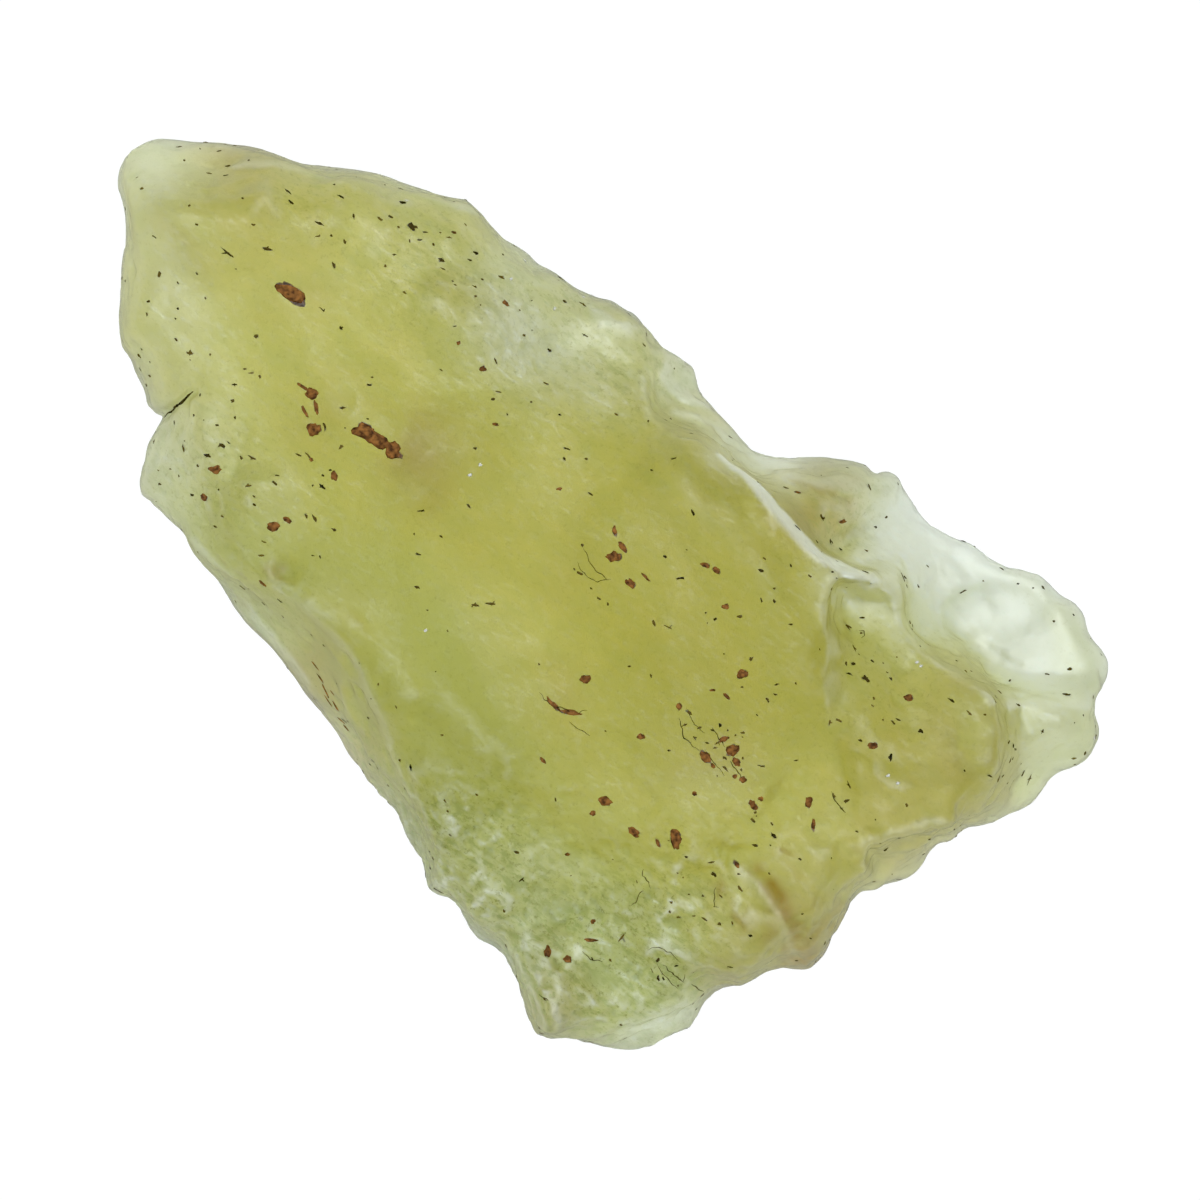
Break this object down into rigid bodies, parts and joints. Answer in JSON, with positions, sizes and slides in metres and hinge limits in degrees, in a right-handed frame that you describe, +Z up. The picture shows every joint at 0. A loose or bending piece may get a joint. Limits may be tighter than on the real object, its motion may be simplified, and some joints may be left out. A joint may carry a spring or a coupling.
{
  "type": "libyan desert glass",
  "caption": "Wedge-shaped piece of pale yellow-green natural silica glass, wind-worn and chipped, with ledges, a notch and dark specks, lying on its underside.",
  "frame": {"origin": "centre of the bounding box's base, on the flat spot that the stone rests on", "axes": "+X along the stone's longest side, towards its broad end; +Y across its broad face, towards the pale thin shelf; +Z up through its thickness"},
  "size_m": [0.0454, 0.0266, 0.0124],
  "materials": {
    "desert_glass": "satin, wind-worn surface"
  },
  "bodies": {
    "root": {"desert_glass": "desert_glass"}
  },
  "joints": []
}
